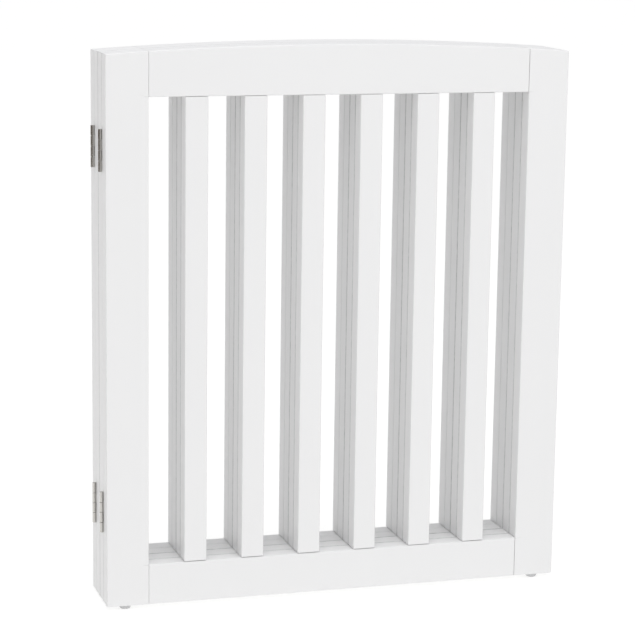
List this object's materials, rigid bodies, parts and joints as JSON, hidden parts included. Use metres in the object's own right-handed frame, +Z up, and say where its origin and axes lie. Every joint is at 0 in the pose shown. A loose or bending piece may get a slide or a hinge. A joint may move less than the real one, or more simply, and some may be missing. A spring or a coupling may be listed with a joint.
{
  "type": "folding pet gate",
  "caption": "Free-standing accordion-folding wooden pet gate, painted white, with arched slatted panels, butt hinges and plastic floor glides, folded flat.",
  "frame": {"origin": "on the floor under the middle of the folded stack, at the bottom centre of the object's box", "axes": "+X along the panels' width (to the right seen from the front), -Y towards the front of the folded stack, +Z up"},
  "size_m": [0.5162, 0.0782, 0.599],
  "materials": {
    "painted_wood": "smooth satin white paint over sanded solid wood",
    "dowel_wood": "bare hardwood dowel",
    "glide_plastic": "moulded pale grey plastic, fine matte",
    "hinge_steel": "nickel-plated steel, polished",
    "screw_steel": "nickel-plated steel, polished"
  },
  "bodies": {
    "panel_1": {"panel_1_left_stile": "painted_wood", "panel_1_right_stile": "painted_wood", "panel_1_top_rail": "painted_wood", "panel_1_bottom_rail": "painted_wood", "panel_1_slat_1": "painted_wood", "panel_1_slat_2": "painted_wood", "panel_1_slat_3": "painted_wood", "panel_1_slat_4": "painted_wood", "panel_1_slat_5": "painted_wood", "panel_1_slat_6": "painted_wood", "panel_1_dowels": "dowel_wood", "panel_1_glides": "glide_plastic", "panel_1_hinge_leaves": "hinge_steel", "panel_1_hinge_screws": "screw_steel", "hinge_pins_1_2": "hinge_steel"},
    "panel_2": {"panel_2_left_stile": "painted_wood", "panel_2_right_stile": "painted_wood", "panel_2_top_rail": "painted_wood", "panel_2_bottom_rail": "painted_wood", "panel_2_slat_1": "painted_wood", "panel_2_slat_2": "painted_wood", "panel_2_slat_3": "painted_wood", "panel_2_slat_4": "painted_wood", "panel_2_slat_5": "painted_wood", "panel_2_slat_6": "painted_wood", "panel_2_dowels": "dowel_wood", "panel_2_glides": "glide_plastic", "panel_2_hinge_leaves": "hinge_steel", "panel_2_hinge_screws": "screw_steel", "hinge_pins_2_3": "hinge_steel"},
    "panel_3": {"panel_3_left_stile": "painted_wood", "panel_3_right_stile": "painted_wood", "panel_3_top_rail": "painted_wood", "panel_3_bottom_rail": "painted_wood", "panel_3_slat_1": "painted_wood", "panel_3_slat_2": "painted_wood", "panel_3_slat_3": "painted_wood", "panel_3_slat_4": "painted_wood", "panel_3_slat_5": "painted_wood", "panel_3_slat_6": "painted_wood", "panel_3_dowels": "dowel_wood", "panel_3_glides": "glide_plastic", "panel_3_hinge_leaves": "hinge_steel", "panel_3_hinge_screws": "screw_steel", "hinge_pins_3_4": "hinge_steel"},
    "panel_4": {"panel_4_left_stile": "painted_wood", "panel_4_right_stile": "painted_wood", "panel_4_top_rail": "painted_wood", "panel_4_bottom_rail": "painted_wood", "panel_4_slat_1": "painted_wood", "panel_4_slat_2": "painted_wood", "panel_4_slat_3": "painted_wood", "panel_4_slat_4": "painted_wood", "panel_4_slat_5": "painted_wood", "panel_4_slat_6": "painted_wood", "panel_4_dowels": "dowel_wood", "panel_4_glides": "glide_plastic", "panel_4_hinge_leaves": "hinge_steel", "panel_4_hinge_screws": "screw_steel"}
  },
  "joints": [
    {"name": "fold_1_2", "type": "hinge", "parent": "panel_1", "child": "panel_2", "pos_m": [-0.25607, -0.0197, 0], "axis": [0, 0, 1], "range_deg": [0, 180]},
    {"name": "fold_2_3", "type": "hinge", "parent": "panel_2", "child": "panel_3", "pos_m": [0.25607, 0, 0], "axis": [0, 0, -1], "range_deg": [0, 180]},
    {"name": "fold_3_4", "type": "hinge", "parent": "panel_3", "child": "panel_4", "pos_m": [-0.25607, 0.0197, 0], "axis": [0, 0, 1], "range_deg": [0, 180]}
  ]
}
